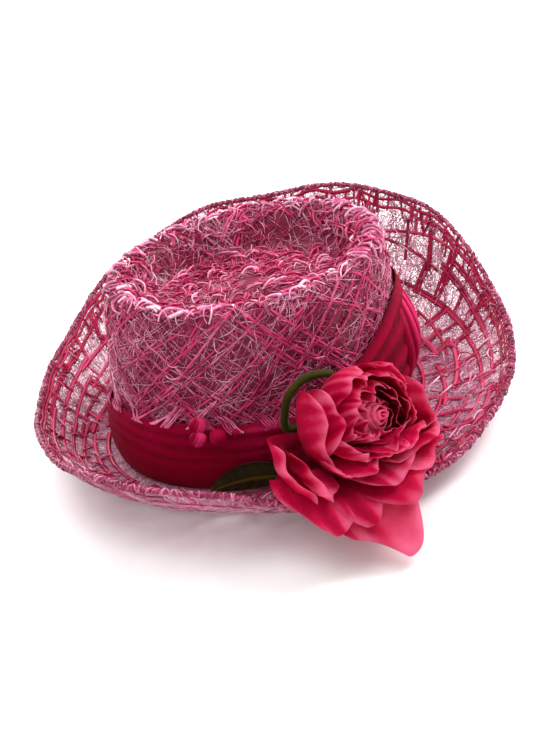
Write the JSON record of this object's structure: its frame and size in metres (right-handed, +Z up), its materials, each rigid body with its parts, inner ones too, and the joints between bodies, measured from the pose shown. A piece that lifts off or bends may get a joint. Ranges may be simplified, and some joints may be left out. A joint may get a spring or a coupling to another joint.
{
  "type": "raffia hat",
  "caption": "Open raffia hat with a deep oval crown, a sunken tip, a turned-up wired brim, a pleated chiffon band and an organza rose with stem and leaf.",
  "frame": {"origin": "on the surface the hat rests on, under the middle of its box", "axes": "+Z up through the crown; -Y is the front of the hat; -X is the wearer's right, where the rose sits"},
  "size_m": [0.3432, 0.3272, 0.1212],
  "materials": {
    "straw": "open pink raffia and shiny filament",
    "edge": "raffia rolled over a wire",
    "chiffon": "soft crimson-pink chiffon",
    "organza": "crisp sheer pink organza",
    "stem": "olive satin rouleau",
    "leaf": "dark olive satin"
  },
  "bodies": {
    "root": {"crown": "straw", "brim": "straw", "brim_edge": "edge", "hat_band": "chiffon", "band_gather": "chiffon", "knot_lobe_upper": "chiffon", "knot_lobe_lower": "chiffon", "band_button": "chiffon", "band_bead": "chiffon", "rose_heart": "organza", "rose_petal_01": "organza", "rose_petal_02": "organza", "rose_petal_03": "organza", "rose_petal_04": "organza", "rose_petal_05": "organza", "rose_petal_06": "organza", "rose_petal_07": "organza", "rose_petal_08": "organza", "rose_petal_09": "organza", "rose_petal_10": "organza", "rose_petal_11": "organza", "rose_stem": "stem", "rose_leaf": "leaf"}
  },
  "joints": []
}
